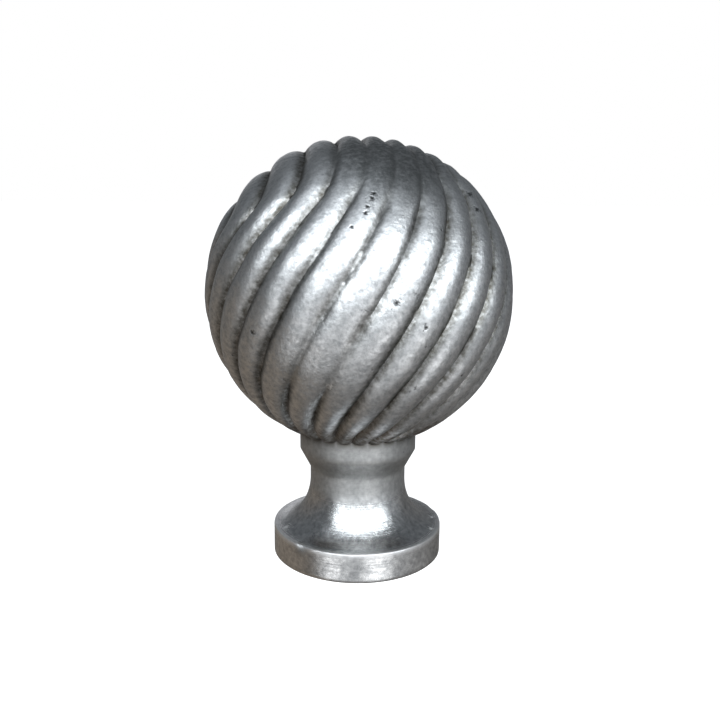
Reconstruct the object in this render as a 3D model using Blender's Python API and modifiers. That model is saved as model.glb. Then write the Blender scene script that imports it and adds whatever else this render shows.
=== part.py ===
"""Ball post cap: a solid cast aluminium ball with twisted reeds, on a turned collar, neck and foot.

The casting is one piece. It stands on its flat underside, whose centre is the origin, and +Z runs up
the axis. The view from the front looks along +Y. All sizes are in metres.
"""

import math

import bmesh
import bpy

# Foot: a short drum with a crisp upper arris.
FOOT_RADIUS = 0.0230
DRUM_HEIGHT = 0.0080
ARRIS_ROUND = 0.0004

# Stem: a cove rises from the drum to the neck, and a taper widens again into the collar.
NECK_RADIUS = 0.0129
COVE_HEIGHT = 0.0130
NECK_HEIGHT = 0.0031
TAPER_HEIGHT = 0.0053
COLLAR_PROJECTION = 0.0028
COLLAR_HEIGHT = 0.0051

# Ball: its radius is taken over the crests of the reeds.
BALL_RADIUS = 0.0400
REED_COUNT = 24
REED_DEPTH = 0.0014
REED_FULLNESS = 2.2
FIRST_GROOVE = math.radians(3.5)
TWIST_PER_LATITUDE = 0.592
FULL_DEPTH_LATITUDE = math.radians(62)

# The reeds drift over the crown and close in on an eye at the back, where the gate was ground smooth.
# The drift is given on a flat map with the top of the ball at its middle and the equator at radius 1.
CROWN_DRIFT = -0.198, 1.424
CROWN_MIDDLE = -0.141, 0.261
CROWN_REACH = 0.67
DRIFT_STEPS = 12
GROUND_PATCH = math.radians(12)
PATCH_FADE = math.radians(24)

# Fineness of the faceted solid.
FACETS_PER_REED = 4
BALL_ROWS = 44
STEM_FACETS = 72
COVE_FACETS = 8
SHARP_ANGLE = math.radians(35)

COLLAR_RADIUS = NECK_RADIUS + COLLAR_PROJECTION
COVE_TOP = DRUM_HEIGHT + COVE_HEIGHT
NECK_TOP = COVE_TOP + NECK_HEIGHT
TAPER_TOP = NECK_TOP + TAPER_HEIGHT
COLLAR_TOP = TAPER_TOP + COLLAR_HEIGHT
BALL_CENTRE = COLLAR_TOP + math.sqrt(BALL_RADIUS**2 - COLLAR_RADIUS**2)
STEM_TOP = (COLLAR_TOP + BALL_CENTRE) / 2


def clear_scene():
    for item in list(bpy.data.objects):
        bpy.data.objects.remove(item, do_unlink=True)


def new_collection(name):
    collection = bpy.data.collections.new(name)
    bpy.context.scene.collection.children.link(collection)
    return collection


def cast_aluminium():
    material = bpy.data.materials.new("cast_aluminium")
    material.use_nodes = True
    shader = material.node_tree.nodes["Principled BSDF"]
    shader.inputs["Base Color"].default_value = (0.56, 0.56, 0.55, 1.0)
    shader.inputs["Metallic"].default_value = 1.0
    shader.inputs["Roughness"].default_value = 0.38
    return material


def smooth_step(value):
    value = min(max(value, 0.0), 1.0)
    return value * value * (3 - 2 * value)


def drift_speed(x, y):
    """How fast a place on the flat map drifts: fastest in the middle, still at the reach."""
    distance = math.hypot(x - CROWN_MIDDLE[0], y - CROWN_MIDDLE[1])
    share = 1 - smooth_step(distance / CROWN_REACH)
    return CROWN_DRIFT[0] * share, CROWN_DRIFT[1] * share


def drift(x, y, step):
    """Carry a place on the flat map along in small steps; a negative step takes it back."""
    for _ in range(DRIFT_STEPS):
        along = drift_speed(x, y)
        along = drift_speed(x + along[0] * step / 2, y + along[1] * step / 2)
        x += along[0] * step
        y += along[1] * step
    return x, y


def place_on_ball(x, y):
    """The direction from the ball's centre that a place on the flat map stands for."""
    square = x * x + y * y
    return 2 * x / (1 + square), 2 * y / (1 + square), (1 - square) / (1 + square)


EYE = place_on_ball(*drift(0.0, 0.0, 1 / DRIFT_STEPS))


def reed_relief(direction):
    """Depth below the crest sphere: each reed is full in its middle and falls to a groove."""
    nearness = sum(one * other for one, other in zip(direction, EYE))
    from_eye = math.acos(min(max(nearness, -1.0), 1.0))
    x, y, z = direction
    if z > 0:
        x, y, z = place_on_ball(*drift(x / (1 + z), y / (1 + z), -1 / DRIFT_STEPS))
    latitude = math.asin(min(max(z, -1.0), 1.0))
    longitude = math.atan2(y, x) - FIRST_GROOVE - TWIST_PER_LATITUDE * latitude
    across = 2 * (longitude / math.tau * REED_COUNT % 1.0) - 1
    closing = min(1.0, math.cos(latitude) / math.cos(FULL_DEPTH_LATITUDE))
    closing *= smooth_step((from_eye - GROUND_PATCH) / PATCH_FADE)
    return REED_DEPTH * closing * abs(across) ** REED_FULLNESS


def make_ball(collection, material):
    """A sphere whose columns of points follow the twist, so that the grooves are lines of edges."""
    mesh = bpy.data.meshes.new("ball_post_cap")
    form = bmesh.new()
    columns = REED_COUNT * FACETS_PER_REED
    bmesh.ops.create_uvsphere(form, u_segments=columns, v_segments=BALL_ROWS, radius=1.0)
    for point in form.verts:
        latitude = math.asin(min(max(point.co.z, -1.0), 1.0))
        longitude = math.atan2(point.co.y, point.co.x)
        longitude += FIRST_GROOVE + TWIST_PER_LATITUDE * latitude
        level = math.cos(latitude)
        direction = level * math.cos(longitude), level * math.sin(longitude), math.sin(latitude)
        radius = BALL_RADIUS - reed_relief(direction)
        point.co = [radius * part for part in direction]
        point.co.z += BALL_CENTRE
    form.to_mesh(mesh)
    form.free()
    mesh.shade_smooth()
    mesh.set_sharp_from_angle(angle=SHARP_ANGLE)
    mesh.materials.append(material)
    ball = bpy.data.objects.new("ball_post_cap", mesh)
    collection.objects.link(ball)
    return ball


def stem_profile():
    """The stem's outline from the top of its axis down its outer side to the underside."""
    cove_foot = FOOT_RADIUS - ARRIS_ROUND
    outline = [(0.0, STEM_TOP), (COLLAR_RADIUS, STEM_TOP)]
    outline += [(COLLAR_RADIUS, TAPER_TOP), (NECK_RADIUS, NECK_TOP)]
    for step in range(COVE_FACETS + 1):
        angle = math.pi / 2 * step / COVE_FACETS
        radius = cove_foot - (cove_foot - NECK_RADIUS) * math.cos(angle)
        outline.append((radius, COVE_TOP - COVE_HEIGHT * math.sin(angle)))
    outline += [(FOOT_RADIUS, DRUM_HEIGHT - ARRIS_ROUND), (FOOT_RADIUS, 0.0), (0.0, 0.0)]
    return outline


def make_stem(collection, material):
    """Collar, neck, cove and foot as one turned body."""
    mesh = bpy.data.meshes.new("turned_stem")
    points = [(radius, 0.0, height) for radius, height in stem_profile()]
    mesh.from_pydata(points, [(n, n + 1) for n in range(len(points) - 1)], [])
    mesh.materials.append(material)
    stem = bpy.data.objects.new("turned_stem", mesh)
    collection.objects.link(stem)
    screw = stem.modifiers.new("turning", "SCREW")
    screw.steps = STEM_FACETS
    screw.render_steps = STEM_FACETS
    screw.use_merge_vertices = True
    screw.merge_threshold = 0.00001
    stem.hide_render = True
    stem.display_type = "WIRE"
    return stem


def build():
    clear_scene()
    parts = new_collection("ball_post_cap")
    guides = new_collection("stem_guide")
    material = cast_aluminium()
    ball = make_ball(parts, material)
    stem = make_stem(guides, material)
    joint = ball.modifiers.new("cast_in_one", "BOOLEAN")
    joint.operation = "UNION"
    joint.object = stem


build()
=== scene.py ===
"""Looks of the ball post cap: a bare aluminium casting with a twisted, reeded ball on a turned stem."""

import math

import bmesh
import bpy
import numpy as np
from mathutils import Matrix, Vector, noise


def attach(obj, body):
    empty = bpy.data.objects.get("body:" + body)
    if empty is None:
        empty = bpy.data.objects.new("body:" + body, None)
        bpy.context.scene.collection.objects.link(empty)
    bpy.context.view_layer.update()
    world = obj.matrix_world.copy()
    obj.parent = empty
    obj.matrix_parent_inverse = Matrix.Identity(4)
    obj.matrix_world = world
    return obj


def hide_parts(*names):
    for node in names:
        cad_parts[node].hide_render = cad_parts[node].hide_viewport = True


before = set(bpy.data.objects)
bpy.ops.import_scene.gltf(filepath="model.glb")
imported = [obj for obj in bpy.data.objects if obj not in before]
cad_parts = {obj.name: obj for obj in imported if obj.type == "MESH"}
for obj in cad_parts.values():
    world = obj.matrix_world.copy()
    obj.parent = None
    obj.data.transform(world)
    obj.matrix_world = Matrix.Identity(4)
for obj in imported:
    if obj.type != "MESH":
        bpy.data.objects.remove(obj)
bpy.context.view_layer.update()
scene = bpy.context.scene


# The camera stands close in front, a little above the ball's middle, and looks down on the cap. Its
# place and lens give the outline of ball and foot that the photograph shows.
CAMERA_PLACE = Vector((0.0, -0.21734, 0.10103))
CAMERA_DOWN = math.radians(12.39)
CAMERA_RIGHT = math.radians(0.10)
CAMERA_ROLL = math.radians(0.54)

lens = bpy.data.cameras.new("camera")
lens.lens = 41.57
lens.sensor_width = 36.0
lens.clip_start = 0.01
camera = bpy.data.objects.new("camera", lens)
scene.collection.objects.link(camera)
camera.matrix_world = (
    Matrix.Translation(CAMERA_PLACE)
    @ Matrix.Rotation(-CAMERA_RIGHT, 4, "Z")
    @ Matrix.Rotation(math.pi / 2 - CAMERA_DOWN, 4, "X")
    @ Matrix.Rotation(CAMERA_ROLL, 4, "Z")
)
scene.camera = camera
scene.view_settings.view_transform = "Standard"


# The studio: a pale floor that runs out into a pale backdrop, one wide soft lamp in front, and soft
# panels of light round the room. The bare metal mirrors the room, so the panels shape its shine.
FLOOR_HALF = 3.0
LAMP_REACH = 0.75


def add(tree, kind, inputs=None, **settings):
    """A node with its settings made, and each input either linked to a socket or set to a value."""
    made = tree.nodes.new(kind)
    for name, value in settings.items():
        setattr(made, name, value)
    for name, value in (inputs or {}).items():
        if isinstance(value, bpy.types.NodeSocket):
            tree.links.new(value, made.inputs[name])
        else:
            made.inputs[name].default_value = value
    return made


def new_material(name):
    """A material with nothing in its node tree but the output."""
    material = bpy.data.materials.new(name)
    material.use_nodes = True
    material.node_tree.nodes.clear()
    output = material.node_tree.nodes.new("ShaderNodeOutputMaterial")
    return material, material.node_tree, output


floor_paint, tree, output = new_material("pale_floor")
pale = add(tree, "ShaderNodeBsdfDiffuse", {"Color": (0.60, 0.60, 0.60, 1.0)})
glow = add(tree, "ShaderNodeEmission", {"Color": (1.0, 1.0, 1.0, 1.0), "Strength": 0.90})
lit = add(tree, "ShaderNodeAddShader", {0: pale.outputs[0], 1: glow.outputs[0]})
tree.links.new(lit.outputs[0], output.inputs["Surface"])

form = bmesh.new()
bmesh.ops.create_grid(form, x_segments=1, y_segments=1, size=FLOOR_HALF)
mesh = bpy.data.meshes.new("floor")
form.to_mesh(mesh)
form.free()
mesh.materials.append(floor_paint)
floor = bpy.data.objects.new("floor", mesh)
floor.visible_glossy = False
scene.collection.objects.link(floor)


def aim(right, up):
    """The direction from the cap towards an angle right of the camera and an angle up, in degrees."""
    right, up = math.radians(right), math.radians(up)
    return Vector((math.sin(right) * math.cos(up), -math.cos(right) * math.cos(up), math.sin(up)))


def add_lamp(name, right, up, width, height, watts, colour):
    """A soft rectangular lamp that faces the ball."""
    lamp = bpy.data.lights.new(name, "AREA")
    lamp.shape = "RECTANGLE"
    lamp.size = width
    lamp.size_y = height
    lamp.energy = watts
    lamp.color = colour
    lamp_object = bpy.data.objects.new(name, lamp)
    place = Vector((0.0, 0.0, 0.07)) + LAMP_REACH * aim(right, up)
    facing = (-aim(right, up)).to_track_quat("-Z", "Y").to_matrix().to_4x4()
    lamp_object.matrix_world = Matrix.Translation(place) @ facing
    scene.collection.objects.link(lamp_object)


add_lamp("window_lamp", 7, 32, 1.80, 0.46, 11.5, (0.92, 0.97, 1.0))

world = bpy.data.worlds.new("studio_room")
world.use_nodes = True
scene.world = world
tree = world.node_tree
tree.nodes.clear()
heading = add(tree, "ShaderNodeTexCoord").outputs["Generated"]
height = add(tree, "ShaderNodeSeparateXYZ", {0: heading}).outputs["Z"]
height = add(tree, "ShaderNodeMapRange", {"Value": height, "From Min": -0.7, "From Max": 0.5}).outputs[0]
room = add(
    tree,
    "ShaderNodeMix",
    {"Factor": height, 6: (0.175, 0.165, 0.155, 1.0), 7: (0.13, 0.140, 0.150, 1.0)},
    data_type="RGBA",
).outputs[2]
for right, up, inner, outer, colour in (
    (8, 2, 10, 75, (0.36, 0.375, 0.39)),
    (-110, -38, 10, 55, (0.07, 0.040, 0.010)),
    (10, -22, 20, 75, (0.11, 0.112, 0.115)),
    (85, -22, 8, 40, (0.13, 0.13, 0.13)),
    (-32, 72, 8, 38, (0.60, 0.64, 0.68)),
    (-34, -24, 5, 17, (1.30, 1.30, 1.30)),
    (28, -24, 7, 20, (1.60, 1.60, 1.60)),
    (75, 8, 8, 36, (0.12, 0.13, 0.14)),
    (-172, 10, 6, 16, (0.60, 0.60, 0.62)),
):
    facing = add(
        tree, "ShaderNodeVectorMath", {0: heading, 1: aim(right, up)}, operation="DOT_PRODUCT"
    ).outputs["Value"]
    panel = add(
        tree,
        "ShaderNodeMapRange",
        {
            "Value": facing,
            "From Min": math.cos(math.radians(outer)),
            "From Max": math.cos(math.radians(inner)),
        },
        interpolation_type="SMOOTHSTEP",
    ).outputs[0]
    room = add(
        tree,
        "ShaderNodeMix",
        {"Factor": panel, 6: room, 7: (*colour, 1.0)},
        data_type="RGBA",
        blend_type="ADD",
    ).outputs[2]
ray = add(tree, "ShaderNodeLightPath")
seen = add(
    tree,
    "ShaderNodeMix",
    {"Factor": ray.outputs["Is Camera Ray"], 6: room, 7: (1.0, 1.0, 1.0, 1.0)},
    data_type="RGBA",
)
background = add(tree, "ShaderNodeBackground", {"Color": seen.outputs[2]})
add(tree, "ShaderNodeOutputWorld", {"Surface": background.outputs[0]})


# The casting: ball, collar, neck, cove and drum foot, cast in one piece of aluminium. Its rough shape
# is spun about the axis from one outline, and the grooves between the reeds are then sunk into the ball.
BALL_RADIUS = 0.0400
COLLAR_RADIUS = 0.0157
NECK_RADIUS = 0.0129
FOOT_RADIUS = 0.0230
DRUM_TOP = 0.0080
COVE_TOP = 0.0210
NECK_TOP = 0.0241
TAPER_TOP = 0.0294
COLLAR_TOP = 0.0345
BALL_CENTRE = COLLAR_TOP + math.sqrt(BALL_RADIUS**2 - COLLAR_RADIUS**2)
JUNCTION_LATITUDE = -math.acos(COLLAR_RADIUS / BALL_RADIUS)
ARRIS_ROUND = 0.0004
FOOT_EDGE_ROUND = 0.0003
COLUMNS = 384
BALL_ROWS = 190
COVE_STEPS = 20
MERGE_GAP = 0.000002
LEVEL_GAP = 0.00001

form = bmesh.new()
crown = form.verts.new((0.0, 0.0, BALL_CENTRE + BALL_RADIUS))
bmesh.ops.spin(
    form,
    geom=[crown],
    cent=(0.0, 0.0, BALL_CENTRE),
    axis=(0.0, 1.0, 0.0),
    angle=math.pi / 2 - JUNCTION_LATITUDE,
    steps=BALL_ROWS,
)
form.verts.ensure_lookup_table()
last = min(form.verts, key=lambda point: point.co.z)

# Corners of the stem below the ball, each with the number of parts that the run down to it is cut in.
stem_corners = [(COLLAR_RADIUS, TAPER_TOP, 4), (NECK_RADIUS, NECK_TOP, 8)]
cove_foot = FOOT_RADIUS - ARRIS_ROUND
for step in range(COVE_STEPS + 1):
    angle = math.pi / 2 * step / COVE_STEPS
    radius = cove_foot - (cove_foot - NECK_RADIUS) * math.cos(angle)
    height = COVE_TOP - (COVE_TOP - DRUM_TOP) * math.sin(angle)
    stem_corners.append((radius, height, 6 if step == 0 else 1))
stem_corners += [
    (FOOT_RADIUS - ARRIS_ROUND / 4, DRUM_TOP - ARRIS_ROUND / 4, 1),
    (FOOT_RADIUS, DRUM_TOP - ARRIS_ROUND * 1.25, 1),
    (FOOT_RADIUS, FOOT_EDGE_ROUND, 10),
    (FOOT_RADIUS - FOOT_EDGE_ROUND, 0.0, 1),
    (0.0, 0.0, 4),
]
for radius, height, parts in stem_corners:
    start, corner = last.co.copy(), Vector((radius, 0.0, height))
    for part in range(1, parts + 1):
        point = form.verts.new(start.lerp(corner, part / parts))
        form.edges.new((last, point))
        last = point
bmesh.ops.spin(
    form,
    geom=form.verts[:] + form.edges[:],
    cent=(0.0, 0.0, 0.0),
    axis=(0.0, 0.0, 1.0),
    angle=math.tau,
    steps=COLUMNS,
    use_merge=True,
)
bmesh.ops.remove_doubles(form, verts=form.verts[:], dist=MERGE_GAP)
bmesh.ops.recalc_face_normals(form, faces=form.faces[:])
casting_mesh = bpy.data.meshes.new("cast_ball_cap")
form.to_mesh(casting_mesh)
form.free()


# The reeds: 24 convex ribs that twist up round the ball and drift back over the crown. Their pattern
# is read on a flat map that has the top of the ball at its middle and the equator at radius 1.
REED_COUNT = 24
REED_SWELL = 0.0015
GROOVE_DEPTH = 0.0003
REED_WANDER = 0.05
SKIN_WAVE = 0.00012
SKIN_RIPPLE = 0.00005
FIRST_GROOVE = math.radians(3.5)
TWIST_PER_LATITUDE = 0.592
CROWN_DRIFT = complex(-0.198, 1.424)
CROWN_MIDDLE = complex(-0.141, 0.261)
CROWN_REACH = 0.67
DRIFT_STEPS = 12
FULL_DEPTH_LATITUDE = math.radians(62)
GROUND_PATCH = 12
PATCH_FADE = 24
COLLAR_FADE_FROM = 56
COLLAR_FADE = 10
COLLAR_LAP = 0.0002
BEND_FROM = math.radians(-45)

# Spots where the reeds are rubbed down: share lost, longitude, latitude, inner and outer reach in degrees.
WORN_SPOTS = (
    (0.75, -103, -17, 6, 24),
    (0.45, -88, 18, 10, 34),
    (0.85, -74, 56, 11, 28),
)


def smooth_step(value):
    value = np.clip(value, 0.0, 1.0)
    return value * value * (3 - 2 * value)


def drift(place, step):
    """Carry places on the flat map along in small steps; a negative step takes them back."""
    for _ in range(DRIFT_STEPS):
        along = CROWN_DRIFT * (1 - smooth_step(np.abs(place - CROWN_MIDDLE) / CROWN_REACH))
        halfway = place + along * step / 2
        along = CROWN_DRIFT * (1 - smooth_step(np.abs(halfway - CROWN_MIDDLE) / CROWN_REACH))
        place = place + along * step
    return place


def on_ball(place):
    """Directions from the ball's centre that places on the flat map stand for."""
    square = np.abs(place) ** 2
    return np.stack([2 * place.real, 2 * place.imag, 1 - square], axis=-1) / (1 + square)[..., None]


def toward(longitude, latitude):
    """The direction of a place on the ball, given in degrees."""
    along, up = math.radians(longitude), math.radians(latitude)
    return np.array([math.cos(up) * math.cos(along), math.cos(up) * math.sin(along), math.sin(up)])


def patch(directions, longitude, latitude, inner, outer):
    """1 within the inner angle of a place on the ball, falling to 0 at the outer one, in degrees."""
    angle = np.degrees(np.arccos(np.clip(directions @ toward(longitude, latitude), -1.0, 1.0)))
    return 1 - smooth_step((angle - inner) / (outer - inner))


def uneven(places, scale, seed):
    """Smooth noise at each place, from about -1 to 1."""
    offset = Vector((seed * 7.3, seed * 3.1, seed * 5.7))
    return np.array([noise.noise(Vector(place) * scale + offset) for place in places])


count = len(casting_mesh.vertices)
places = np.empty(count * 3)
casting_mesh.vertices.foreach_get("co", places)
places = places.reshape(count, 3)
on_sphere = places[:, 2] > COLLAR_TOP - LEVEL_GAP
from_centre = places - [0.0, 0.0, BALL_CENTRE]
latitude = np.where(
    on_sphere, np.arcsin(np.clip(from_centre[:, 2] / BALL_RADIUS, -1.0, 1.0)), JUNCTION_LATITUDE
)
longitude = np.arctan2(places[:, 1], places[:, 0]) + FIRST_GROOVE + TWIST_PER_LATITUDE * latitude
level = np.cos(latitude)
directions = np.stack([level * np.cos(longitude), level * np.sin(longitude), np.sin(latitude)], axis=-1)

flat = (directions[:, 0] + 1j * directions[:, 1]) / (1 + directions[:, 2])
flat = np.where(directions[:, 2] > 0, drift(flat, -1 / DRIFT_STEPS), flat)
pattern = on_ball(flat)
pattern_latitude = np.arcsin(np.clip(pattern[:, 2], -1.0, 1.0))
turn = np.arctan2(pattern[:, 1], pattern[:, 0]) - FIRST_GROOVE - TWIST_PER_LATITUDE * pattern_latitude
wander = REED_WANDER * (uneven(directions, 2.6, 1) + 0.5 * uneven(directions, 8.0, 2))
across = np.abs(2 * ((turn / math.tau * REED_COUNT + wander) % 1.0) - 1)

# The reeds get shallower towards the poles of their pattern, round the ground patch and at the collar.
closing = np.minimum(1.0, np.cos(pattern_latitude) / math.cos(FULL_DEPTH_LATITUDE))
eye = on_ball(drift(np.array([0j]), 1 / DRIFT_STEPS))[0]
from_eye = np.degrees(np.arccos(np.clip(directions @ eye, -1.0, 1.0)))
closing = closing * smooth_step((from_eye - GROUND_PATCH) / PATCH_FADE)
closing = closing * (1 - 0.5 * smooth_step((-np.degrees(latitude) - COLLAR_FADE_FROM) / COLLAR_FADE))
worn = np.zeros(count)
for lost, *spot in WORN_SPOTS:
    worn = np.maximum(worn, lost * patch(directions, *spot))
swell = REED_SWELL * (1 - worn) * closing
cut = GROOVE_DEPTH * (1 - 0.5 * worn) * closing * (1 + 0.35 * uneven(directions, 5.0, 3))
relief = swell * across**2.0 + cut * across**8
skin = SKIN_WAVE * uneven(directions, 5.5, 4) + SKIN_RIPPLE * uneven(directions, 19.0, 5)
ball_radius = BALL_RADIUS - relief + skin

# Where the rough ball meets the turned collar, each column of points ends on the collar's edge.
junction_radius = COLLAR_RADIUS - COLLAR_LAP
end_latitude = -np.arccos(np.clip(junction_radius / ball_radius, -1.0, 1.0))
share = np.clip((BEND_FROM - latitude) / (BEND_FROM - JUNCTION_LATITUDE), 0.0, 1.0)
latitude = latitude + share * (end_latitude - JUNCTION_LATITUDE)
level = np.cos(latitude)
ball_places = ball_radius[:, None] * np.stack(
    [level * np.cos(longitude), level * np.sin(longitude), np.sin(latitude)], axis=-1
)
ball_places[:, 2] += BALL_CENTRE

# The turned stem is true to the axis but for faint low spots, and its arris is nicked at the left.
STEM_DENT = 0.00006
ARRIS_REACH = 0.0012
NICK_BEARING = -128
NICK_WIDTH = 5.0
NICK_DEPTH = 0.0005
ON_AXIS = 0.001
stem_radius = np.hypot(places[:, 0], places[:, 1])
around = np.stack([np.cos(longitude), np.sin(longitude), places[:, 2] / 0.02], axis=-1)
dent = STEM_DENT * uneven(around, 2.5, 6)
from_arris = np.hypot(stem_radius - FOOT_RADIUS, places[:, 2] - DRUM_TOP)
near_arris = np.exp(-((from_arris / ARRIS_REACH) ** 2))
bearing = np.degrees(np.arctan2(np.sin(longitude), np.cos(longitude)))
nick = np.exp(-(((bearing - NICK_BEARING) / NICK_WIDTH) ** 2))
nick += 0.35 * np.clip(uneven(around, 7.0, 7) - 0.1, 0.0, 1.0)
worked_radius = stem_radius + dent - NICK_DEPTH * nick * near_arris
stem_radius = np.where(stem_radius > ON_AXIS, worked_radius, stem_radius)
stem_places = np.stack(
    [
        stem_radius * np.cos(longitude),
        stem_radius * np.sin(longitude),
        places[:, 2] - 0.6 * NICK_DEPTH * nick * near_arris,
    ],
    axis=-1,
)
places = np.where(on_sphere[:, None], ball_places, stem_places)
places[:, 2] = np.maximum(places[:, 2], 0.0)
casting_mesh.vertices.foreach_set("co", places.ravel())

# Where dirt and painted shade, dull metal, polish and a painted highlight lie, kept on the points for the
# materials to read. The painted shade under the ball starts 42 degrees below its middle, the tarnish is a
# spot on the crown, and the groove dirt and painted shade start about halfway from a rib's crest to its
# groove.
UNDERSIDE_SHADE_FROM = 42
UNDERSIDE_SHADE_FADE = 16
TARNISH_SPOT = (-68, 62, 12, 31)
DIRT_AND_SHADE_FROM = 0.48
DIRT_AND_SHADE_FADE = 0.44
COLLAR_SHADE_WIDTH = 0.0011
COLLAR_SHADE_REACH = COLLAR_RADIUS + 0.0018
UNDER_COLLAR_SHADE_WIDTH = 0.0026
TURNED_FROM = COVE_TOP - 0.0005
TURNED_FADE = 0.004
low = smooth_step((-np.degrees(latitude) - UNDERSIDE_SHADE_FROM) / UNDERSIDE_SHADE_FADE)
groove = smooth_step((across - DIRT_AND_SHADE_FROM) / DIRT_AND_SHADE_FADE) * closing * (1 - 0.7 * worn) * (1 - 0.5 * low)
# Painted shade: a thin dark line where the ball meets the collar, and a fainter band in the crease under
# the collar.
collar_line_shade = np.exp(-(((places[:, 2] - COLLAR_TOP) / COLLAR_SHADE_WIDTH) ** 2)) * (stem_radius < COLLAR_SHADE_REACH)
from_crease = places[:, 2] - (TAPER_TOP + NECK_TOP) / 2
under_collar_shade = np.exp(-((from_crease / UNDER_COLLAR_SHADE_WIDTH) ** 2)) * ~on_sphere
masks = {
    "groove": groove * on_sphere,
    "tarnish": patch(directions, *TARNISH_SPOT) * on_sphere,
    "underside_shade": low * on_sphere,
    "collar_shade": collar_line_shade + 0.4 * under_collar_shade,
    "arris": near_arris * ~on_sphere,
    "turned": smooth_step((TURNED_FROM - places[:, 2]) / TURNED_FADE) * ~on_sphere,
}
for name, values in masks.items():
    layer = casting_mesh.attributes.new(name, "FLOAT", "POINT")
    layer.data.foreach_set("value", values.astype(np.float32))


# The bare cast skin of the ball: light grey metal, clouded and finely grained, with dark dirt and painted
# shade in the grooves, dull metal on top, painted warm shade low down, a painted shade line at the collar,
# and small black blow holes where gas was caught under the skin.
def new_group(name, inputs, outputs):
    """A shader node group with named sockets, and its two end nodes."""
    group = bpy.data.node_groups.new(name, "ShaderNodeTree")
    for label, kind in inputs:
        group.interface.new_socket(label, in_out="INPUT", socket_type=kind)
    for label in outputs:
        group.interface.new_socket(label, in_out="OUTPUT", socket_type="NodeSocketFloat")
    return group, group.nodes.new("NodeGroupInput"), group.nodes.new("NodeGroupOutput")


VALUE = "NodeSocketFloat"
VECTOR = "NodeSocketVector"

cast_mottle, start, end = new_group(
    "cast_mottle",
    [("Place", VECTOR), ("Cloud Scale", VALUE), ("Grain Scale", VALUE)],
    ["Cloud", "Grain"],
)
clouds = add(
    cast_mottle,
    "ShaderNodeTexNoise",
    {
        "Vector": start.outputs["Place"],
        "Scale": start.outputs["Cloud Scale"],
        "Detail": 5.0,
        "Roughness": 0.62,
    },
)
spread = add(
    cast_mottle, "ShaderNodeMapRange", {"Value": clouds.outputs[0], "From Min": 0.32, "From Max": 0.68}
)
grains = add(
    cast_mottle,
    "ShaderNodeTexNoise",
    {
        "Vector": start.outputs["Place"],
        "Scale": start.outputs["Grain Scale"],
        "Detail": 4.0,
        "Roughness": 0.7,
    },
)
cast_mottle.links.new(spread.outputs[0], end.inputs["Cloud"])
cast_mottle.links.new(grains.outputs[0], end.inputs["Grain"])

blow_holes, start, end = new_group(
    "blow_holes", [("Place", VECTOR), ("Scale", VALUE), ("Rarity", VALUE), ("Size", VALUE)], ["Hole"]
)
cells = add(
    blow_holes,
    "ShaderNodeTexVoronoi",
    {"Vector": start.outputs["Place"], "Scale": start.outputs["Scale"], "Randomness": 1.0},
)
chance = add(blow_holes, "ShaderNodeSeparateColor", {0: cells.outputs["Color"]})
chosen = add(
    blow_holes,
    "ShaderNodeMath",
    {0: chance.outputs[0], 1: start.outputs["Rarity"]},
    operation="GREATER_THAN",
)
near = add(
    blow_holes,
    "ShaderNodeMapRange",
    {"Value": cells.outputs["Distance"], "From Min": start.outputs["Size"], "From Max": 0.0},
    interpolation_type="SMOOTHSTEP",
)
hole = add(blow_holes, "ShaderNodeMath", {0: chosen.outputs[0], 1: near.outputs[0]}, operation="MULTIPLY")
blow_holes.links.new(hole.outputs[0], end.inputs["Hole"])


blemish, start, end = new_group(
    "blemish", [("Place", VECTOR), ("Centre", VECTOR), ("Size", VALUE), ("Before", VALUE)], ["Mark"]
)
ragged = add(blemish, "ShaderNodeTexNoise", {"Vector": start.outputs["Place"], "Scale": 1900.0})
ragged = add(
    blemish,
    "ShaderNodeMapRange",
    {"Value": ragged.outputs[0], "From Min": 0.2, "From Max": 0.8, "To Min": 0.2, "To Max": 1.9},
)
away = add(
    blemish,
    "ShaderNodeVectorMath",
    {0: start.outputs["Place"], 1: start.outputs["Centre"]},
    operation="DISTANCE",
)
away = add(
    blemish,
    "ShaderNodeMath",
    {0: away.outputs["Value"], 1: ragged.outputs[0]},
    operation="MULTIPLY",
)
near = add(
    blemish,
    "ShaderNodeMapRange",
    {"Value": away.outputs[0], "From Min": start.outputs["Size"], "From Max": 0.0},
    interpolation_type="SMOOTHSTEP",
)
marks = add(
    blemish,
    "ShaderNodeMath",
    {0: near.outputs[0], 1: start.outputs["Before"]},
    operation="MAXIMUM",
)
blemish.links.new(marks.outputs[0], end.inputs["Mark"])


def use_group(tree, group, inputs):
    """A node that stands for a group, with its named inputs set or linked."""
    made = tree.nodes.new("ShaderNodeGroup")
    made.node_tree = group
    for name, value in inputs.items():
        if isinstance(value, bpy.types.NodeSocket):
            tree.links.new(value, made.inputs[name])
        else:
            made.inputs[name].default_value = value
    return made


def mix_colour(tree, factor, under, over):
    made = add(tree, "ShaderNodeMix", {"Factor": factor, 6: under, 7: over}, data_type="RGBA")
    return made.outputs[2]


def multiply(tree, one, other):
    return add(tree, "ShaderNodeMath", {0: one, 1: other}, operation="MULTIPLY").outputs[0]


def mask(tree, name):
    return add(tree, "ShaderNodeAttribute", attribute_name=name).outputs["Fac"]


def spread_range(tree, value, low, high, to_low=0.0, to_high=1.0):
    made = add(
        tree,
        "ShaderNodeMapRange",
        {"Value": value, "From Min": low, "From Max": high, "To Min": to_low, "To Max": to_high},
    )
    return made.outputs[0]


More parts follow.
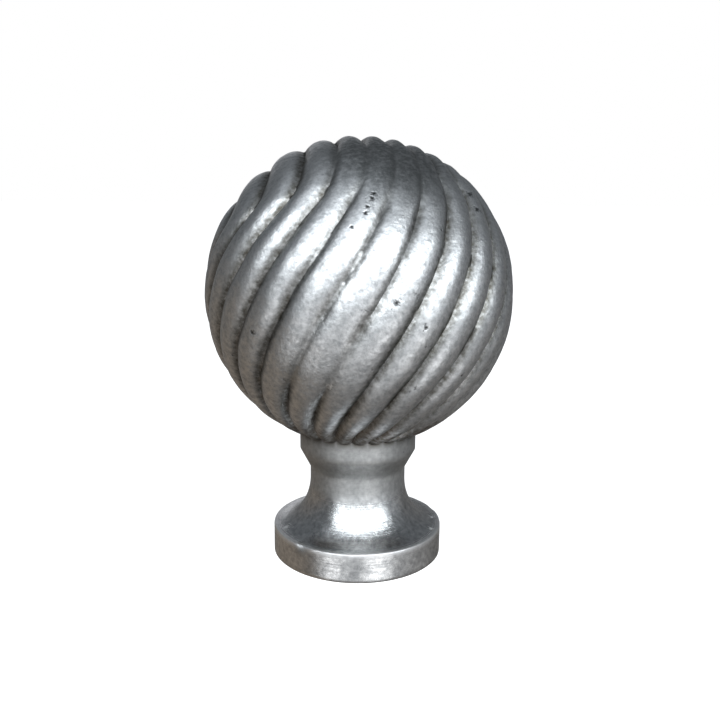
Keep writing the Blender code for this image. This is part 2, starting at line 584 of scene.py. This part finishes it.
cast_skin, tree, output = new_material("cast_aluminium_skin")
place = add(tree, "ShaderNodeTexCoord").outputs["Object"]
mottle = use_group(tree, cast_mottle, {"Place": place, "Cloud Scale": 780.0, "Grain Scale": 1250.0})
holes = use_group(tree, blow_holes, {"Place": place, "Scale": 330.0, "Rarity": 0.93, "Size": 0.16})
colour = mix_colour(tree, mottle.outputs["Cloud"], (0.36, 0.37, 0.38, 1.0), (0.70, 0.71, 0.72, 1.0))
cloud = mottle.outputs["Cloud"]
# Dark dirt and painted shade in the grooves, strongest at the bottom of each groove.
groove_dirt_and_shade = multiply(tree, mask(tree, "groove"), spread_range(tree, cloud, 0.0, 1.0, 1.0, 0.6))
colour = mix_colour(tree, groove_dirt_and_shade, colour, (0.07, 0.064, 0.050, 1.0))
dulled = multiply(tree, mask(tree, "tarnish"), spread_range(tree, cloud, 0.2, 0.8, 0.95, 0.5))
colour = mix_colour(tree, dulled, colour, (0.16, 0.168, 0.17, 1.0))
# Painted shade with a warm tint over the lower part of the ball, patchy with the clouds.
warm_underside_shade = multiply(tree, mask(tree, "underside_shade"), spread_range(tree, cloud, 0.2, 0.8, 1.0, 0.55))
colour = mix_colour(tree, warm_underside_shade, colour, (0.13, 0.105, 0.08, 1.0))
# A painted shade line where the ball meets the collar.
colour = mix_colour(tree, mask(tree, "collar_shade"), colour, (0.09, 0.08, 0.065, 1.0))
colour = mix_colour(tree, holes.outputs["Hole"], colour, (0.03, 0.03, 0.03, 1.0))

# Pits in the skin, each by longitude, latitude and width. The ragged rim of a pit eats into its width,
# so each is sunk a little wider than it looks.
RIM_LOSS = 1.2
pits = 0.0
for longitude_seen, latitude_seen, across_pit in (
    (-84.0, 41.2, 0.0008),
    (-85.0, 39.2, 0.0009),
    (-87.0, 36.0, 0.0008),
    (-87.7, 33.8, 0.0007),
    (-92.8, 28.8, 0.0005),
    (-78.2, 4.6, 0.0011),
    (-70.8, 6.6, 0.0008),
    (-70.9, 3.5, 0.0008),
    (-88.1, 2.2, 0.0006),
    (-68.2, -3.5, 0.0007),
    (-68.9, -25.8, 0.0007),
    (-117.7, -23.3, 0.0007),
    (-127.6, -7.1, 0.0008),
    (-49.7, 40.8, 0.0008),
    (-28.6, 41.0, 0.0012),
    (-31.8, 34.7, 0.0012),
):
    centre = BALL_RADIUS * toward(longitude_seen, latitude_seen) + [0.0, 0.0, BALL_CENTRE]
    pit = {"Place": place, "Centre": Vector(centre), "Size": RIM_LOSS * across_pit, "Before": pits}
    pits = use_group(tree, blemish, pit).outputs["Mark"]
colour = mix_colour(tree, pits, colour, (0.025, 0.025, 0.025, 1.0))

# One bright nick on a rib, low at the left.
centre = Vector(BALL_RADIUS * toward(-100.3, -24.5) + [0.0, 0.0, BALL_CENTRE])
glint = use_group(tree, blemish, {"Place": place, "Centre": centre, "Size": 0.0011, "Before": 0.0})
colour = mix_colour(tree, glint.outputs["Mark"], colour, (0.92, 0.92, 0.92, 1.0))
roughness = spread_range(tree, cloud, 0.0, 1.0, 0.46, 0.30)
sunk = add(tree, "ShaderNodeMath", {0: pits, 1: holes.outputs["Hole"]}, operation="MAXIMUM")
height = add(tree, "ShaderNodeMath", {0: mottle.outputs["Grain"], 1: sunk.outputs[0]}, operation="SUBTRACT")
bump = add(
    tree, "ShaderNodeBump", {"Strength": 0.6, "Distance": 0.00018, "Height": height.outputs[0]}
)
metal = add(
    tree,
    "ShaderNodeBsdfPrincipled",
    {"Base Color": colour, "Metallic": 1.0, "Roughness": roughness, "Normal": bump.outputs[0]},
)
tree.links.new(metal.outputs[0], output.inputs["Surface"])


# The turned stem: collar, neck, cove and drum, faced on a lathe. Fine rings run round it, its arris is
# rubbed and carries a painted highlight, and painted shade lies at and under the collar.
lathe_rings, start, end = new_group(
    "lathe_rings", [("Place", VECTOR), ("Pitch", VALUE), ("Break Up", VALUE)], ["Ring"]
)
parts = add(lathe_rings, "ShaderNodeSeparateXYZ", {0: start.outputs["Place"]})
level_place = add(
    lathe_rings, "ShaderNodeCombineXYZ", {"X": parts.outputs["X"], "Y": parts.outputs["Y"], "Z": 0.0}
)
reach = add(lathe_rings, "ShaderNodeVectorMath", {0: level_place.outputs[0]}, operation="LENGTH")
along = add(
    lathe_rings, "ShaderNodeMath", {0: reach.outputs["Value"], 1: parts.outputs["Z"]}, operation="SUBTRACT"
)
break_up = add(lathe_rings, "ShaderNodeTexNoise", {"Vector": start.outputs["Place"], "Scale": 60.0})
shift = multiply(lathe_rings, break_up.outputs[0], start.outputs["Break Up"])
along = add(lathe_rings, "ShaderNodeMath", {0: along.outputs[0], 1: shift}, operation="ADD")
rings = add(
    lathe_rings,
    "ShaderNodeTexNoise",
    {"W": multiply(lathe_rings, along.outputs[0], start.outputs["Pitch"]), "Scale": 1.0, "Detail": 2.0},
    noise_dimensions="1D",
)
lathe_rings.links.new(rings.outputs[0], end.inputs["Ring"])

turned_stem, tree, output = new_material("turned_aluminium")
place = add(tree, "ShaderNodeTexCoord").outputs["Object"]
mottle = use_group(tree, cast_mottle, {"Place": place, "Cloud Scale": 760.0, "Grain Scale": 1500.0})
holes = use_group(tree, blow_holes, {"Place": place, "Scale": 420.0, "Rarity": 0.96, "Size": 0.12})
rings = use_group(tree, lathe_rings, {"Place": place, "Pitch": 5200.0, "Break Up": 0.0002})
colour = mix_colour(tree, mottle.outputs["Cloud"], (0.42, 0.43, 0.44, 1.0), (0.80, 0.81, 0.815, 1.0))
# The unturned neck, taper and collar are darker: their as-cast skin, and painted shade.
unturned_skin_and_shade = spread_range(tree, mask(tree, "turned"), 0.0, 1.0, 0.6, 0.0)
colour = mix_colour(tree, unturned_skin_and_shade, colour, (0.30, 0.30, 0.295, 1.0))
# Painted shade at the collar's edge and in the crease under the collar.
colour = mix_colour(tree, multiply(tree, mask(tree, "collar_shade"), 0.95), colour, (0.10, 0.09, 0.075, 1.0))
# A painted highlight along the foot's arris, together with rubbed wear.
colour = mix_colour(tree, multiply(tree, mask(tree, "arris"), 0.8), colour, (0.90, 0.90, 0.90, 1.0))
colour = mix_colour(tree, holes.outputs["Hole"], colour, (0.06, 0.06, 0.06, 1.0))

# Bright specks at the foot of the cove, each by its place and width.
specks = 0.0
for across_place, along_place, height_place, across_speck in (
    (-0.0193, -0.0070, 0.0084, 0.0013),
    (0.0200, -0.0068, 0.0082, 0.0011),
    (0.0208, 0.0010, 0.0082, 0.0010),
):
    centre = Vector((across_place, along_place, height_place))
    speck = {"Place": place, "Centre": centre, "Size": across_speck, "Before": specks}
    specks = use_group(tree, blemish, speck).outputs["Mark"]
colour = mix_colour(tree, specks, colour, (0.95, 0.95, 0.95, 1.0))
ringed = spread_range(tree, rings.outputs["Ring"], 0.3, 0.7, 0.16, 0.24)
roughness = add(tree, "ShaderNodeMix", {"Factor": mask(tree, "turned"), 2: 0.50, 3: ringed}).outputs[0]
rubbed = multiply(tree, mask(tree, "arris"), 0.25)
roughness = add(tree, "ShaderNodeMath", {0: roughness, 1: rubbed}).outputs[0]
roughness = add(tree, "ShaderNodeMath", {0: roughness, 1: multiply(tree, specks, 0.4)}).outputs[0]
height = add(
    tree,
    "ShaderNodeMath",
    {0: rings.outputs["Ring"], 1: multiply(tree, mottle.outputs["Grain"], 0.6)},
    operation="ADD",
)
bump = add(
    tree, "ShaderNodeBump", {"Strength": 0.45, "Distance": 0.00009, "Height": height.outputs[0]}
)
metal = add(
    tree,
    "ShaderNodeBsdfPrincipled",
    {"Base Color": colour, "Metallic": 1.0, "Roughness": roughness, "Normal": bump.outputs[0]},
)
tree.links.new(metal.outputs[0], output.inputs["Surface"])


# The underside: a flat face with coarser rings from one facing cut. It sits on the post and stays
# duller than the sides.
faced_underside, tree, output = new_material("faced_underside")
place = add(tree, "ShaderNodeTexCoord").outputs["Object"]
mottle = use_group(tree, cast_mottle, {"Place": place, "Cloud Scale": 150.0, "Grain Scale": 1200.0})
rings = use_group(tree, lathe_rings, {"Place": place, "Pitch": 2600.0, "Break Up": 0.0004})
colour = mix_colour(tree, mottle.outputs["Cloud"], (0.36, 0.36, 0.355, 1.0), (0.52, 0.52, 0.51, 1.0))
roughness = spread_range(tree, mottle.outputs["Cloud"], 0.0, 1.0, 0.5, 0.38)
bump = add(
    tree, "ShaderNodeBump", {"Strength": 0.5, "Distance": 0.0001, "Height": rings.outputs["Ring"]}
)
metal = add(
    tree,
    "ShaderNodeBsdfPrincipled",
    {"Base Color": colour, "Metallic": 1.0, "Roughness": roughness, "Normal": bump.outputs[0]},
)
tree.links.new(metal.outputs[0], output.inputs["Surface"])

# The ball keeps the cast skin, the stem is turned, and the flat disc under the foot is faced.
for material in (cast_skin, turned_stem, faced_underside):
    casting_mesh.materials.append(material)
for face in casting_mesh.polygons:
    heights = [places[point][2] for point in face.vertices]
    if max(heights) < LEVEL_GAP:
        face.material_index = 2
    elif not all(on_sphere[point] for point in face.vertices):
        face.material_index = 1
casting_mesh.shade_smooth()
casting_mesh.set_sharp_from_angle(angle=math.radians(50))
casting = bpy.data.objects.new("cast_ball_cap", casting_mesh)
scene.collection.objects.link(casting)
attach(casting, "root")
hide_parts("ball_post_cap")
